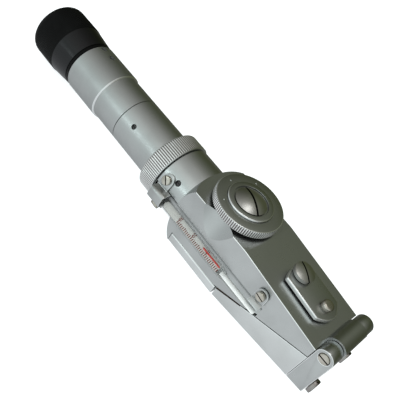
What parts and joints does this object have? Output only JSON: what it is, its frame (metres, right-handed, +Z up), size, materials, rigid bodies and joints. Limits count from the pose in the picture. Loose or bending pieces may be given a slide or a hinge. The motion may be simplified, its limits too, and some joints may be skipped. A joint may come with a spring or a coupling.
{
  "type": "handheld refractometer",
  "caption": "Handheld refractometer: eyepiece barrel, prism head with a hinged wedge lid, range knob on top and a side thermometer.",
  "frame": {"origin": "point on the base plate's flat underside, on the range knob's axis", "axes": "+X along the optical axis from the eyepiece towards the lid's hinge, +Z up towards the knob, -Y on the thermometer's side"},
  "size_m": [0.2075, 0.0362, 0.0395],
  "materials": {
    "satin_metal": "satin",
    "nickel": "polished",
    "bright_steel": "polished",
    "blackened_metal": "matt",
    "brass": "satin",
    "glass": "clear",
    "milk_glass": "satin",
    "red_spirit": "gloss",
    "white_glass": "gloss",
    "black_plastic": "gloss with fine knurl"
  },
  "bodies": {
    "body": {"body_block": "satin_metal", "base_plate": "satin_metal", "lower_tube": "satin_metal", "middle_tube": "satin_metal", "upper_tube": "satin_metal", "upper_clip": "satin_metal", "lower_clip": "satin_metal", "base_screw_1": "nickel", "base_screw_2": "nickel", "base_screw_3": "nickel", "base_screw_4": "nickel", "clip_screw_upper": "nickel", "clip_screw_under": "nickel", "clip_screw_stem": "nickel", "shutter_screw": "nickel", "detent_spring": "nickel", "detent_ball": "bright_steel", "objective_cell": "blackened_metal", "neck_set_screw": "blackened_metal", "tube_set_screw": "blackened_metal", "sleeve_set_screw_1": "blackened_metal", "sleeve_set_screw_2": "blackened_metal", "prism_mask": "brass", "reticle_cell": "brass", "knob_bush": "brass", "measuring_prism": "glass", "light_window": "glass", "objective_lens": "glass", "reticle": "glass", "thermometer_tube": "glass", "thermometer_scale": "milk_glass", "thermometer_column": "red_spirit", "thermometer_stem": "white_glass", "eyepiece_bush": "black_plastic"},
    "lid": {"lid_body": "satin_metal", "hinge_bracket": "satin_metal", "hinge_pin": "nickel", "end_screw_near": "nickel", "end_screw_far": "nickel", "lighting_prism": "glass", "lid_window": "glass", "lid_mask": "brass"},
    "shutter": {"shutter_plate": "satin_metal", "shutter_knob": "nickel"},
    "range_knob": {"range_knob": "satin_metal", "knob_plate": "satin_metal", "knob_screw": "nickel", "drum_screw": "nickel", "range_shaft": "bright_steel", "range_drum": "blackened_metal", "range_prism_1": "glass", "range_prism_2": "glass", "range_prism_3": "glass"},
    "union_ring": {"union_ring": "satin_metal"},
    "lens_cell": {"lens_cell": "brass", "cell_ring": "brass", "eye_lens": "glass", "field_lens": "glass"},
    "eyepiece_cap": {"eyepiece_cap": "black_plastic", "eye_plate": "black_plastic"}
  },
  "joints": [
    {"name": "lid_hinge", "type": "hinge", "parent": "body", "child": "lid", "pos_m": [0.06416, 0, 0.0272], "axis": [0, -1, 0], "range_deg": [0, 100]},
    {"name": "knob_turn", "type": "hinge", "parent": "body", "child": "range_knob", "pos_m": [0, 0, 0.0317], "axis": [0, 0, 1], "range_deg": [-60, 60]},
    {"name": "shutter_swing", "type": "hinge", "parent": "body", "child": "shutter", "pos_m": [0.03466, 0, 0.02963], "axis": [0.1095, 0, 0.994], "range_deg": [0, 90]},
    {"name": "ring_turn", "type": "hinge", "parent": "body", "child": "union_ring", "pos_m": [-0.03964, 0, 0.016], "axis": [1, 0, 0], "range_deg": [0, 180]},
    {"name": "focus_turn", "type": "hinge", "parent": "lens_cell", "child": "eyepiece_cap", "pos_m": [-0.10904, 0, 0.016], "axis": [1, 0, 0], "range_deg": [0, 320]},
    {"name": "focus_slide", "type": "slide", "parent": "body", "child": "lens_cell", "axis": [-1, 0, 0], "range_m": [0, 0.004]}
  ],
  "couplings": [
    {"joint": "focus_turn", "follows": "focus_slide", "rad_per_m": 1396.3}
  ]
}
